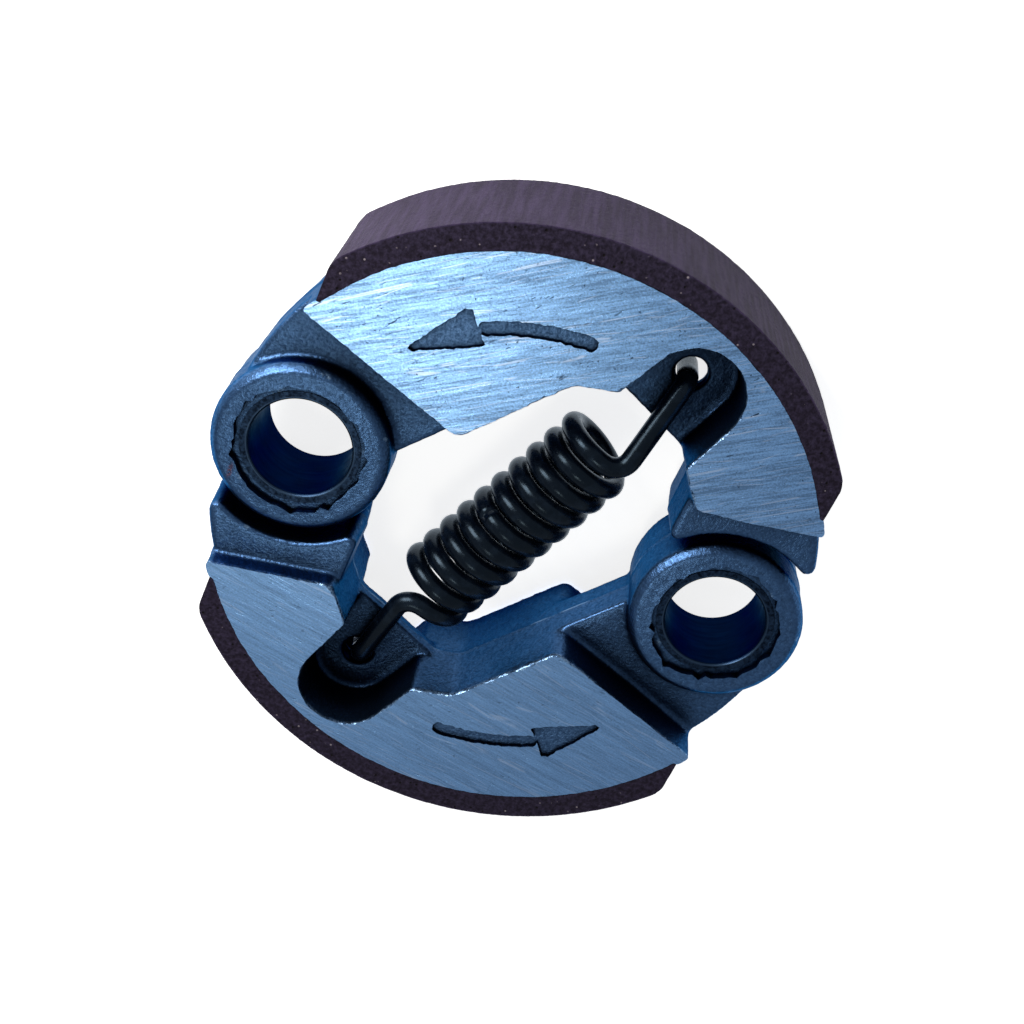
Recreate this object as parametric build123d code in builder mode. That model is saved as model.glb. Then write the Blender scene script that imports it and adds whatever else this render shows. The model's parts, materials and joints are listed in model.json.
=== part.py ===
from build123d import *
from math import ceil, degrees, hypot
import os

# Two-shoe centrifugal clutch of a small garden engine, in millimetres.
# Z is the clutch axis. X runs from the pivot of shoe A to the pivot of shoe B.
# The machined back faces lie on Z = 0 and the front faces look along +Z.
# Shoe A carries the upper half of the friction surface (+Y). Shoe B is the same
# shoe turned half a turn about the clutch axis.

# Clutch as a whole
THICKNESS = 17.6            # machined back face to machined front face
FRICTION_DIAMETER = 78.0    # over both linings, shoes at rest
PIVOT_SPACING = 53.5        # between the two pivot axes

# Friction lining, a curved strip with parallel end cuts
LINING_THICKNESS = 3.2
LINING_SPAN = 61.7          # between the end cuts
LINING_END_CHAMFER = 0.7    # on the outer corner of each end

# Pivot bush, cast into the boss
BORE_DIAMETER = 12.2
BUSH_WALL = 1.0
BUSH_LENGTH = 11.2
BUSH_CHAMFER = 0.3

# Boss around the bush
BOSS_DIAMETER = 21.2
BOSS_RECESS = 0.8           # the end of the bush lies this far below the boss face
FLASH_GAP = 0.35            # the recess is this much wider than the bush
BOSS_CHAMFER = 0.9          # broken outer edge of the boss

# Walls of the casting. Outlines are given at the parting plane, half-way up.
DRAFT = 3.0                 # draft of the cast walls, degrees
SHOULDER = 0.5              # the pad stands out past the lining seat at each end of it
RIM_REACH = 9.55            # outer wall of ear and tail, past the pivot axis
PAD_OVERLAP = 3.0           # ear, tail and web run this far into the machined pad

# Ear, the flat arm between the pad and the boss
EAR_THICKNESS = 7.2

# Machined pad, the full-thickness body of the shoe
HEEL_ANGLE = -18.4          # edge towards the boss, heading from +X
HEEL_DISTANCE = 14.5        # pivot axis to that edge
INNER_ANGLE = 51.0          # straight inner wall
INNER_DISTANCE = 14.6       # clutch axis to the inner wall
NOSE_ANGLE = 14.0           # short edge between the inner wall and the pocket
NOSE_DISTANCE = 21.3        # clutch axis to the nose
TOE_ANGLE = -51.8           # edge between the pocket and the tail
TOE_DISTANCE = 21.6         # clutch axis to the toe
TAIL_EDGE_ANGLE = 13.2      # edge towards the tail
TAIL_EDGE_DISTANCE = 15.1   # pivot axis of the other shoe to that edge
HEEL_CORNER = 2.1           # corner radii of the pad
NOSE_CORNER = 3.0
POCKET_CORNER = 0.9
TOE_CORNER = 1.4

# Tail, which reaches over the boss of the other shoe
TAIL_THICKNESS = 12.6
TAIL_REACH = 10.7           # inner wall of the tail, before the other pivot axis
TAIL_CLEARANCE = 1.3        # between the tail and the other boss
TAIL_ROUND = 1.3            # rounded tips of the tail

# Spring pocket, a notch open to the centre with a thin web across it
SPRING_ANGLE = 67.5         # heading of the spring axis
POCKET_WALL = 2.0           # between the round end and the seat of the lining
POCKET_WIDTH = 10.2         # across the round end
MOUTH_WIDTH = 11.6          # across the mouth
MOUTH_DISTANCE = 14.0       # clutch axis to where the mouth is measured
WEB_THICKNESS = 2.6
WEB_LENGTH = 12.4           # round end of the pocket to the free edge of the web
WEB_WIDTH = 15.2
HOOK_HOLE_DIAMETER = 3.9
HOOK_HOLE_INSET = 5.5       # round end of the pocket to the hook hole

# Tension spring
WIRE_DIAMETER = 2.5
WIRE_SIDES = 6              # flats round the wire, and
WIRE_STEP = 30              # degrees of bend from one section of it to the next
COIL_DIAMETER = 11.2        # over the coil
COIL_PITCH = 2.94
COIL_TURNS = 10
COIL_SHIFT = -0.35          # centre of the coil along the spring axis
COIL_LIFT = 0.8             # coil axis above the parting plane
ARM_OFFSET = 2.8            # how far the end turn runs on before it bends
ARM_BEND = 2.2              # bend radius where the end turn becomes the arm
HOOK_BEND = 1.8             # bend radius where the arm turns into the hole
HOOK_END = 1.6              # the hook stands out past the web
HOOK_CLEARANCE = 0.12       # between the wire and the web

PARTING = THICKNESS / 2
FRICTION_RADIUS = FRICTION_DIAMETER / 2
SEAT_RADIUS = FRICTION_RADIUS - LINING_THICKNESS
SHOULDER_RADIUS = SEAT_RADIUS + SHOULDER
RIM_RADIUS = PIVOT_SPACING / 2 + RIM_REACH
BUSH_RADIUS = BORE_DIAMETER / 2 + BUSH_WALL
BOSS_RADIUS = BOSS_DIAMETER / 2
BOSS_LENGTH = BUSH_LENGTH + 2 * BOSS_RECESS
# Along the spring axis, from the clutch axis
POCKET_DEPTH = SEAT_RADIUS - POCKET_WALL
WEB_DISTANCE = POCKET_DEPTH - WEB_LENGTH
HOOK_HOLE_DISTANCE = POCKET_DEPTH - HOOK_HOLE_INSET
FAR = 2 * FRICTION_DIAMETER

CENTRE = Vector(0, 0)
PIVOT_A = Vector(-PIVOT_SPACING / 2, 0)
PIVOT_B = Vector(PIVOT_SPACING / 2, 0)
PARTING_PLANE = Plane.XY.offset(PARTING)
SPRING_HEADING = Vector(1, 0, 0).rotate(Axis.Z, SPRING_ANGLE)
SPRING_PLANE = Plane((0, 0, PARTING), x_dir=SPRING_HEADING, z_dir=(0, 0, 1))
COIL_PLANE = SPRING_PLANE.offset(COIL_LIFT)
HALF_TURN = (0, 0, 180)


def wall(point, heading, distance):
    """Line that runs at a heading, a distance to the left of a point."""
    direction = Vector(1, 0).rotate(Axis.Z, heading)
    return Axis(point + direction.rotate(Axis.Z, 90) * distance, direction)


def meet(first, second):
    """Corner where two such lines cross."""
    return first.intersect(second)


def on(line, distance):
    """Point on a line, a distance on from where it was set out."""
    return line.position + line.direction * distance


os.makedirs("parts", exist_ok=True)

# Edges of the machined pad, and the heel and tail edges moved into the pad
heel = wall(PIVOT_A, HEEL_ANGLE, HEEL_DISTANCE)
heel_inside = wall(PIVOT_A, HEEL_ANGLE, HEEL_DISTANCE + PAD_OVERLAP)
inner = wall(CENTRE, INNER_ANGLE, INNER_DISTANCE)
nose = wall(CENTRE, NOSE_ANGLE, NOSE_DISTANCE)
pocket_axis = wall(CENTRE, SPRING_ANGLE, 0)
toe = wall(CENTRE, TOE_ANGLE, TOE_DISTANCE)
tail_edge = wall(PIVOT_B, TAIL_EDGE_ANGLE, TAIL_EDGE_DISTANCE)
tail_edge_inside = wall(PIVOT_B, TAIL_EDGE_ANGLE, TAIL_EDGE_DISTANCE + PAD_OVERLAP)
tail_inner = wall(PIVOT_B, 90, TAIL_REACH)
pivot_line = wall(CENTRE, 0, 0)

# The lining, flush with both machined faces of the shoe
with BuildPart() as friction_lining_a:
    with BuildSketch() as lining_outline:
        Circle(FRICTION_RADIUS)
        Circle(SEAT_RADIUS, mode=Mode.SUBTRACT)
        Rectangle(LINING_SPAN, FRICTION_RADIUS, align=(Align.CENTER, Align.MIN), mode=Mode.INTERSECT)
        ends = lining_outline.vertices().group_by(SortBy.DISTANCE)[-1]
        chamfer(ends, LINING_END_CHAMFER)
    extrude(amount=THICKNESS)

# Outline of the spring pocket, wider at its mouth than at its round end
with BuildSketch() as pocket:
    with Locations(on(pocket_axis, POCKET_DEPTH - POCKET_WIDTH / 2)):
        Circle(POCKET_WIDTH / 2)
    with Locations(on(pocket_axis, MOUTH_DISTANCE)):
        Circle(MOUTH_WIDTH / 2)
    make_hull()

# Upper half of the machined pad, drafted from the parting plane to the front face
with BuildPart() as pad:
    with BuildSketch(PARTING_PLANE) as pad_outline:
        with BuildLine():
            Polyline(
                on(heel, -FAR),
                meet(heel, inner),
                meet(inner, nose),
                meet(nose, pocket_axis),
                meet(toe, pocket_axis),
                meet(toe, tail_edge),
                on(tail_edge, FAR),
                on(tail_edge, FAR) + Vector(0, FAR),
                on(heel, -FAR) + Vector(0, FAR),
                close=True,
            )
        make_face()
        fillet(pad_outline.vertices().sort_by_distance(meet(heel, inner))[0], HEEL_CORNER)
        fillet(pad_outline.vertices().sort_by_distance(meet(inner, nose))[0], NOSE_CORNER)
        fillet(pad_outline.vertices().sort_by_distance(meet(toe, tail_edge))[0], TOE_CORNER)
        add(pocket.sketch, mode=Mode.SUBTRACT)
        mouth = pad_outline.vertices().sort_by_distance(on(pocket_axis, NOSE_DISTANCE))[:2]
        fillet(mouth, POCKET_CORNER)
    extrude(amount=THICKNESS / 2)
    draft(pad.faces().filter_by(Axis.Z, reverse=True), PARTING_PLANE, DRAFT)
    with BuildSketch(PARTING_PLANE):
        Circle(FAR * 2)
        Circle(SHOULDER_RADIUS, mode=Mode.SUBTRACT)
    extrude(amount=THICKNESS, mode=Mode.SUBTRACT)

# Upper half of the ear, which stays inside the shoulders of the pad
with BuildPart() as ear:
    with BuildSketch(PARTING_PLANE):
        with BuildLine():
            Polyline(
                on(pivot_line, -FAR),
                meet(pivot_line, inner),
                meet(inner, heel_inside),
                on(heel_inside, -FAR),
                close=True,
            )
        make_face()
        Circle(RIM_RADIUS, mode=Mode.INTERSECT)
        Circle(SHOULDER_RADIUS, mode=Mode.INTERSECT)
    extrude(amount=EAR_THICKNESS / 2)
    draft(ear.faces().filter_by(Axis.Z, reverse=True), PARTING_PLANE, DRAFT)

# Upper half of the boss at the end of the ear
with BuildPart() as boss:
    with BuildSketch(PARTING_PLANE):
        with Locations(PIVOT_A):
            Circle(BOSS_RADIUS)
    extrude(amount=BOSS_LENGTH / 2)
    chamfer(boss.edges().group_by(Axis.Z)[-1], BOSS_CHAMFER)

# Upper half of the tail, inside the shoulders too and hollowed to clear the boss of the other shoe
with BuildPart() as tail:
    with BuildSketch(PARTING_PLANE) as tail_outline:
        with BuildLine():
            Polyline(
                meet(tail_inner, pivot_line),
                on(pivot_line, FAR),
                on(tail_edge_inside, FAR),
                meet(tail_inner, tail_edge_inside),
                close=True,
            )
        make_face()
        Circle(RIM_RADIUS, mode=Mode.INTERSECT)
        Circle(SHOULDER_RADIUS, mode=Mode.INTERSECT)
        with Locations(PIVOT_B):
            Circle(BOSS_RADIUS + TAIL_CLEARANCE, mode=Mode.SUBTRACT)
        fillet(tail_outline.vertices().sort_by(Axis.Y)[:2], TAIL_ROUND)
    extrude(amount=TAIL_THICKNESS / 2)
    draft(tail.faces().filter_by(Axis.Z, reverse=True), PARTING_PLANE, DRAFT)

# The shoe: its upper half, mirrored in the parting plane
with BuildPart() as shoe_casting_a:
    add(pad.part)
    add(ear.part)
    add(boss.part)
    add(tail.part)
    # Web across the pocket
    with BuildSketch(SPRING_PLANE):
        with Locations((WEB_DISTANCE, 0)):
            Rectangle(POCKET_DEPTH + PAD_OVERLAP - WEB_DISTANCE, WEB_WIDTH, align=(Align.MIN, Align.CENTER))
    extrude(amount=WEB_THICKNESS / 2)
    # Hook hole in the web
    with BuildSketch(SPRING_PLANE):
        with Locations((HOOK_HOLE_DISTANCE, 0)):
            Circle(HOOK_HOLE_DIAMETER / 2)
    extrude(amount=WEB_THICKNESS, mode=Mode.SUBTRACT)
    # Seat of the bush, with a shallow recess round its end
    with BuildSketch(PARTING_PLANE):
        with Locations(PIVOT_A):
            Circle(BUSH_RADIUS)
    extrude(amount=THICKNESS, mode=Mode.SUBTRACT)
    with BuildSketch(PARTING_PLANE.offset(BUSH_LENGTH / 2)):
        with Locations(PIVOT_A):
            Circle(BUSH_RADIUS + FLASH_GAP)
    extrude(amount=THICKNESS, mode=Mode.SUBTRACT)
    # Seat of the lining, between two shoulders
    with BuildSketch(PARTING_PLANE):
        Circle(FAR)
        Circle(SEAT_RADIUS, mode=Mode.SUBTRACT)
        Rectangle(LINING_SPAN, FAR, align=(Align.CENTER, Align.MIN), mode=Mode.INTERSECT)
    extrude(amount=THICKNESS, mode=Mode.SUBTRACT)
    mirror(about=PARTING_PLANE)

# Bush
with BuildPart() as pivot_bush_a:
    with BuildSketch(PARTING_PLANE.offset(-BUSH_LENGTH / 2)):
        with Locations(PIVOT_A):
            Circle(BUSH_RADIUS)
            Circle(BORE_DIAMETER / 2, mode=Mode.SUBTRACT)
    extrude(amount=BUSH_LENGTH)
    bore_edges = pivot_bush_a.edges().filter_by(GeomType.CIRCLE).group_by(SortBy.RADIUS)[0]
    chamfer(bore_edges, BUSH_CHAMFER)

# Centre line of the spring wire. Its half-turns are semicircles that lean along the
# axis by half a pitch, so each runs on smoothly into the next. It is a right-hand coil.
COIL_RADIUS = (COIL_DIAMETER - WIRE_DIAMETER) / 2
TURN_RADIUS = hypot(COIL_RADIUS, COIL_PITCH / 4)
COIL_START = COIL_SHIFT - COIL_TURNS * COIL_PITCH / 2
COIL_FINISH = COIL_SHIFT + COIL_TURNS * COIL_PITCH / 2
ARM_HEIGHT = WEB_THICKNESS / 2 + HOOK_CLEARANCE + WIRE_DIAMETER / 2 - COIL_LIFT
HOOK_TIP = -WEB_THICKNESS / 2 - HOOK_END - COIL_LIFT
HOOK_SEAT = HOOK_HOLE_DISTANCE - (HOOK_HOLE_DIAMETER - WIRE_DIAMETER) / 2 + HOOK_CLEARANCE


def coil(along, left, height):
    """Point given along, to the left of and above the axis of the coil."""
    return COIL_PLANE.from_local_coords((along, left, height))


def stations(path):
    """Places and headings along a path: the ends of straight runs, and steps round each bend."""
    edges = path.order_edges()
    for edge in edges:
        steps = 1
        if edge.geom_type == GeomType.CIRCLE:
            steps = ceil(degrees(edge.length / edge.radius) / WIRE_STEP)
        for step in range(steps):
            yield edge @ (step / steps), edge % (step / steps)
    yield edges[-1] @ 1, edges[-1] % 1


UP = Vector(0, 0, 1)
LEAN = (coil(COIL_PITCH / 2, -2 * COIL_RADIUS, 0) - coil(0, 0, 0)).normalized()

with BuildPart() as tension_spring:
    with BuildLine() as wire:
        front = coil(COIL_START, 0, TURN_RADIUS)
        right = coil(COIL_START + COIL_PITCH / 4, -COIL_RADIUS, 0)
        FilletPolyline(
            coil(-HOOK_SEAT, 0, HOOK_TIP),
            coil(-HOOK_SEAT, 0, ARM_HEIGHT),
            front - LEAN * ARM_OFFSET,
            front,
            radius=(HOOK_BEND, ARM_BEND),
        )
        ThreePointArc(front, coil(COIL_START, 0, 0) + (UP + LEAN).normalized() * TURN_RADIUS, right)
        for turn in range(COIL_TURNS):
            start = COIL_START + turn * COIL_PITCH
            right = coil(start + COIL_PITCH / 4, -COIL_RADIUS, 0)
            back = coil(start + COIL_PITCH / 2, 0, -TURN_RADIUS)
            left = coil(start + COIL_PITCH * 3 / 4, COIL_RADIUS, 0)
            front = coil(start + COIL_PITCH, 0, TURN_RADIUS)
            ThreePointArc(right, back, left)
            if turn < COIL_TURNS - 1:
                ThreePointArc(left, front, coil(start + COIL_PITCH * 5 / 4, -COIL_RADIUS, 0))
        ThreePointArc(left, coil(COIL_FINISH, 0, 0) + (UP - LEAN).normalized() * TURN_RADIUS, front)
        FilletPolyline(
            front,
            front + LEAN * ARM_OFFSET,
            coil(HOOK_SEAT, 0, ARM_HEIGHT),
            coil(HOOK_SEAT, 0, HOOK_TIP),
            radius=(ARM_BEND, HOOK_BEND),
        )
    across = SPRING_HEADING
    for place, heading in stations(wire.wires()[0]):
        across = (across - heading * across.dot(heading)).normalized()
        with BuildSketch(Plane(place, x_dir=across, z_dir=heading)):
            RegularPolygon(WIRE_DIAMETER / 2, WIRE_SIDES)
    loft(ruled=True)

# Shoe B is shoe A turned half a turn about the clutch axis
with BuildPart() as shoe_casting_b:
    add(shoe_casting_a.part, rotation=HALF_TURN)
with BuildPart() as friction_lining_b:
    add(friction_lining_a.part, rotation=HALF_TURN)
with BuildPart() as pivot_bush_b:
    add(pivot_bush_a.part, rotation=HALF_TURN)

shoe_casting_a.part.label = "shoe_casting_a"
shoe_casting_b.part.label = "shoe_casting_b"
friction_lining_a.part.label = "friction_lining_a"
friction_lining_b.part.label = "friction_lining_b"
pivot_bush_a.part.label = "pivot_bush_a"
pivot_bush_b.part.label = "pivot_bush_b"
tension_spring.part.label = "tension_spring"

export_step(shoe_casting_a.part, "parts/shoe_casting_a.step")
export_step(shoe_casting_b.part, "parts/shoe_casting_b.step")
export_step(friction_lining_a.part, "parts/friction_lining_a.step")
export_step(friction_lining_b.part, "parts/friction_lining_b.step")
export_step(pivot_bush_a.part, "parts/pivot_bush_a.step")
export_step(pivot_bush_b.part, "parts/pivot_bush_b.step")
export_step(tension_spring.part, "parts/tension_spring.step")
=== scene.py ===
"""Two-shoe centrifugal clutch: castings, linings, bushes and spring, dressed over its solids."""
import json
import math

import bmesh
import bpy
from bpy.props import FloatProperty, FloatVectorProperty, IntProperty, PointerProperty
from mathutils import Matrix, Vector, noise


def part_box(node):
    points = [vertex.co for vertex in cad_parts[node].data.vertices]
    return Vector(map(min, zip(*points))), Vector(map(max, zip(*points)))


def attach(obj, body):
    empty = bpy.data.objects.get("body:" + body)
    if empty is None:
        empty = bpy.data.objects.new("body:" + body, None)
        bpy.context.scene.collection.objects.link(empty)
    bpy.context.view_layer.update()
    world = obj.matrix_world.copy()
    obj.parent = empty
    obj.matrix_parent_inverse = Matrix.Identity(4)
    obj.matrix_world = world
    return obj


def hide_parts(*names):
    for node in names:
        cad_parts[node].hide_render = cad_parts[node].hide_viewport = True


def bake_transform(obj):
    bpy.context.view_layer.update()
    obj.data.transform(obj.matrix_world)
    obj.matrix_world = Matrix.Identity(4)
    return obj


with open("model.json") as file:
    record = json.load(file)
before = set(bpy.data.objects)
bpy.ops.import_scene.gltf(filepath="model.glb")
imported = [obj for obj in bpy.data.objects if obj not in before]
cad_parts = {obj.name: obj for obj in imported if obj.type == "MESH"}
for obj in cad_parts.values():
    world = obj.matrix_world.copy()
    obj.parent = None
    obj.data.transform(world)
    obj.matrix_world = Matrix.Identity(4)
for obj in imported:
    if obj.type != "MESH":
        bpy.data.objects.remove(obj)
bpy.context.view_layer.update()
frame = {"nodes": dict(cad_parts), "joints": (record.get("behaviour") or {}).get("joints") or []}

bl_info = {
    "name": "Centrifugal Clutch",
    "version": (1, 0, 0),
    "blender": (4, 5, 0),
    "location": "3D View > Sidebar > Clutch",
    "description": "Dresses the solids of a two-shoe clutch with cast, ground and moulded finishes",
    "category": "Mesh",
}

MM = 0.001
HALF_TURN = Matrix.Rotation(math.pi, 4, "Z")
UPRIGHT = Matrix.Identity(4)
# Each shoe: its letter, its body, and the turn that carries shoe A's features onto it.
SHOES = (("a", "shoe_a", UPRIGHT), ("b", "shoe_b", HALF_TURN))
PIVOT = {joint["child"]: Vector(joint["pos_m"]) for joint in frame["joints"]}
BACK, FRONT = (corner.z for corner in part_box("shoe_casting_a"))
PARTING = (BACK + FRONT) / 2
SEAT_RADIUS = 35.8 * MM
BUSH_RADIUS = (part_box("pivot_bush_a")[1].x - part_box("pivot_bush_a")[0].x) / 2
BORE_RADIUS = 6.1 * MM
# Points nearer than this are one point.
WELD = 0.0005 * MM
# A point this near a face belongs to it.
SLACK = 0.01 * MM


# ---------------------------------------------------------------- settings

def length(name, description, default):
    """A size in metres that the sidebar shows."""
    return FloatProperty(name=name, description=description, default=default,
                         unit="LENGTH", precision=5)


def colour(name, description, default):
    """A colour that the sidebar shows."""
    return FloatVectorProperty(name=name, description=description, default=default,
                               subtype="COLOR", size=3, min=0.0, max=1.0)


def angle(name, description, degrees):
    """An angle that the sidebar shows."""
    return FloatProperty(name=name, description=description,
                         default=math.radians(degrees), subtype="ANGLE")


class CastingSettings(bpy.types.PropertyGroup):
    """Sizes and colours of the two shoe castings."""
    skin_step: length("Skin step", "Size of the small faces that make the cast skin", 0.00028)
    rounding: IntProperty(name="Rounding", description="Passes that round the cast edges",
                          default=11, min=0, max=40)
    sand_depth: length("Sand depth", "Height of the grain that the mould leaves", 0.00003)
    swell_depth: length("Swell depth", "Height of the slow waves of the cast skin", 0.00006)
    grind_stock: length("Grinding stock", "What the grinder takes off each face", 0.00008)
    seat_stock: length("Seat stock", "What it takes off beside the lining, where edges stay sharp",
                       0.0010)
    edge_rag: length("Edge raggedness", "Height of the coarse sand along ground edges", 0.00007)
    parting_ridge: length("Parting ridge", "Height of the ridge where the mould halves met",
                          0.00012)
    arrow_radius: length("Arrow radius", "Distance of the arrow's shaft from the clutch axis",
                         0.0272)
    arrow_width: length("Arrow width", "Width of the arrow's shaft", 0.0017)
    arrow_depth: length("Arrow depth", "Depth of the arrow below the ground face", 0.00048)
    flash_radius: length("Flash radius", "Middle radius of the ragged edge round each bush", 0.0078)
    flash_rag: length("Flash raggedness", "How far the ragged edge wanders", 0.0009)
    skin_dark: colour("Dark skin", "Cast skin in its hollows", (0.040, 0.088, 0.188))
    skin_light: colour("Light skin", "Cast skin on its grain", (0.080, 0.176, 0.378))
    worn_edge: colour("Worn edge", "Bare metal on worn edges", (0.30, 0.48, 0.74))
    ground: colour("Ground face", "Bright steel of the ground faces", (0.23, 0.44, 0.82))
    grind_angle_a: angle("Grind angle A", "Direction of the grinding marks on shoe A", 34.5)
    grind_angle_b: angle("Grind angle B", "Direction of the grinding marks on shoe B", -8.5)
    rust: colour("Rust", "Specks of rust", (0.16, 0.035, 0.012))


class LiningSettings(bpy.types.PropertyGroup):
    """Sizes and colours of the friction linings."""
    skin_step: length("Skin step", "Size of the small faces that make the lining", 0.0003)
    rounding: IntProperty(name="Rounding", description="Passes that soften the edges",
                          default=2, min=0, max=40)
    crumb_depth: length("Crumb depth", "Height of the lining's coarse grain", 0.00004)
    matrix: colour("Binder", "Binder of the lining", (0.013, 0.009, 0.019))
    fibre: colour("Fibre", "Lighter fibres and grains", (0.042, 0.032, 0.068))
    speck: colour("Speck", "Pale mineral specks", (0.26, 0.22, 0.25))
    rim: colour("Rim", "Rubbing face of the lining", (0.058, 0.041, 0.094))


class BushSettings(bpy.types.PropertyGroup):
    """Sizes and colours of the pivot bushes."""
    lip: length("Lip", "Broken edge at the ends of the bore", 0.0002)
    steel: colour("Steel", "Dark steel of the bush", (0.006, 0.016, 0.044))
    # The bright ring is a painted highlight on the broken edge at the mouth of the bore.
    bright: colour("Bright ring", "Lighter ring at the mouth of the bore", (0.035, 0.065, 0.12))


class SpringSettings(bpy.types.PropertyGroup):
    """Sizes and colours of the tension spring."""
    wire: length("Wire diameter", "Diameter of the spring wire", 0.0025)
    coil_radius: length("Coil radius", "Radius of the coil at the middle of the wire", 0.00435)
    pitch: length("Pitch", "Distance from turn to turn", 0.00294)
    start: length("First turn", "Where the coil starts along its axis", -0.01505)
    finish: length("Last turn", "Where the coil ends along its axis", 0.01435)
    heading: angle("Heading", "Direction of the coil's axis", 67.5)
    black: colour("Black", "Black finish of the wire", (0.0015, 0.003, 0.007))
    worn: colour("Worn finish", "Finish where turns rub", (0.008, 0.014, 0.026))


class StageSettings(bpy.types.PropertyGroup):
    """Camera, lamps and floor."""
    camera_place: FloatVectorProperty(
        name="Camera place", description="Where the camera stands", subtype="TRANSLATION",
        unit="LENGTH", size=3, default=(-0.018923, 0.080479, 0.164997))
    camera_turn: FloatVectorProperty(
        name="Camera turn", description="How the camera is turned", subtype="EULER",
        size=3, default=(-0.463300, 0.052034, 0.422279))
    lens: FloatProperty(name="Lens", description="Focal length in millimetres", default=51.015)
    shift_x: FloatProperty(name="Shift across", description="Sideways lens shift", default=-0.0650)
    shift_y: FloatProperty(name="Shift up", description="Upward lens shift", default=-0.0173)
    floor: colour("Floor", "Pale floor", (0.93, 0.93, 0.93))


SETTINGS = {
    "clutch_casting": CastingSettings,
    "clutch_lining": LiningSettings,
    "clutch_bush": BushSettings,
    "clutch_spring": SpringSettings,
    "clutch_stage": StageSettings,
}


# ---------------------------------------------------------------- mesh helpers

def show(name, mesh):
    """A new object in the scene."""
    thing = bpy.data.objects.new(name, mesh)
    bpy.context.scene.collection.objects.link(thing)
    return thing


def mesh_from(shape, name):
    """A mesh made from a bmesh, which is freed."""
    mesh = bpy.data.meshes.new(name)
    shape.to_mesh(mesh)
    shape.free()
    return mesh


def settled(thing, name):
    """The mesh of an object with its modifiers worked in; the object is removed."""
    bpy.context.view_layer.update()
    graph = bpy.context.evaluated_depsgraph_get()
    mesh = bpy.data.meshes.new_from_object(thing.evaluated_get(graph))
    mesh.name = name
    bpy.data.objects.remove(thing)
    if not mesh.polygons:
        raise RuntimeError(f"{name} came out empty")
    return mesh


def prism(shape, outline, low, high):
    """Adds an upright prism over a counter-clockwise outline to a bmesh."""
    foot = [shape.verts.new((x, y, low)) for x, y in outline]
    head = [shape.verts.new((x, y, high)) for x, y in outline]
    shape.faces.new(head)
    shape.faces.new(foot[::-1])
    for i in range(len(outline)):
        j = (i + 1) % len(outline)
        shape.faces.new((foot[i], foot[j], head[j], head[i]))


def cut(mesh, cutter, name):
    """The mesh with the cutter's shape taken out of it."""
    body, tool = show(name, mesh), show(name + "_cutter", cutter)
    step = body.modifiers.new("Cut", "BOOLEAN")
    step.object, step.operation, step.solver = tool, "DIFFERENCE", "MANIFOLD"
    result = settled(body, name)
    bpy.data.objects.remove(tool)
    return result


def drop_slivers(shape):
    """Closes the slivers that a cut leaves, and takes away triangles that lie back to back."""
    bmesh.ops.remove_doubles(shape, verts=shape.verts, dist=WELD)
    # The skin's four-sided faces stay, so that worn edges show where the shape has edges.
    many_sided = [face for face in shape.faces if len(face.verts) > 4]
    bmesh.ops.triangulate(shape, faces=many_sided)
    shape.verts.index_update()
    same = {}
    for face in shape.faces:
        same.setdefault(frozenset(vert.index for vert in face.verts), []).append(face)
    doubled = [face for faces in same.values() if len(faces) > 1 for face in faces]
    bmesh.ops.delete(shape, geom=doubled, context="FACES")


def stocked(node, stock):
    """A copy of a solid, with its front and back raised by what the grinder takes off."""
    shape = bmesh.new()
    shape.from_mesh(frame["nodes"][node].data)
    bmesh.ops.remove_doubles(shape, verts=shape.verts, dist=WELD)
    for vert in shape.verts:
        if vert.co.z > FRONT - SLACK:
            vert.co.z += stock
        elif vert.co.z < BACK + SLACK:
            vert.co.z -= stock
    return shape


def skinned(mesh, name, step, passes):
    """The mesh made again from small even faces with softened edges."""
    body = show(name, mesh)
    fine = body.modifiers.new("Even skin", "REMESH")
    fine.mode, fine.voxel_size, fine.adaptivity = "VOXEL", step, 0.0
    if passes:
        soft = body.modifiers.new("Soft edges", "SMOOTH")
        soft.factor, soft.iterations = 0.5, passes
    return settled(body, name)


def grind(shape, low, high):
    """Cuts a bmesh flat at two heights and closes the cuts; returns the flat faces."""
    flats = []
    for height, up in ((high, 1), (low, -1)):
        bmesh.ops.bisect_plane(
            shape, geom=shape.verts[:] + shape.edges[:] + shape.faces[:], dist=WELD,
            plane_co=(0, 0, height), plane_no=(0, 0, up), clear_outer=True)
        rim = [edge for edge in shape.edges if edge.is_boundary]
        for vert in {vert for edge in rim for vert in edge.verts}:
            vert.co.z = height
        made = bmesh.ops.triangle_fill(shape, use_beauty=True, use_dissolve=False, edges=rim,
                                       normal=(0, 0, up))
        faces = [face for face in made["geom"] if isinstance(face, bmesh.types.BMFace)]
        for face in faces:
            face.normal_update()
            if face.normal.z * up < 0:
                face.normal_flip()
        flats += faces
    return flats


def keep_inside(shape, node):
    """Holds every point inside the box of its solid."""
    low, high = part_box(node)
    for vert in shape.verts:
        for axis in range(3):
            vert.co[axis] = min(max(vert.co[axis], low[axis]), high[axis])


def finish_piece(thing, body, slot, *nodes):
    """Fixes a piece to its body and hides the solids that it stands for; its slot is not used."""
    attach(thing, body)
    if nodes:
        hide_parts(*nodes)


# ---------------------------------------------------------------- node helpers

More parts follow.
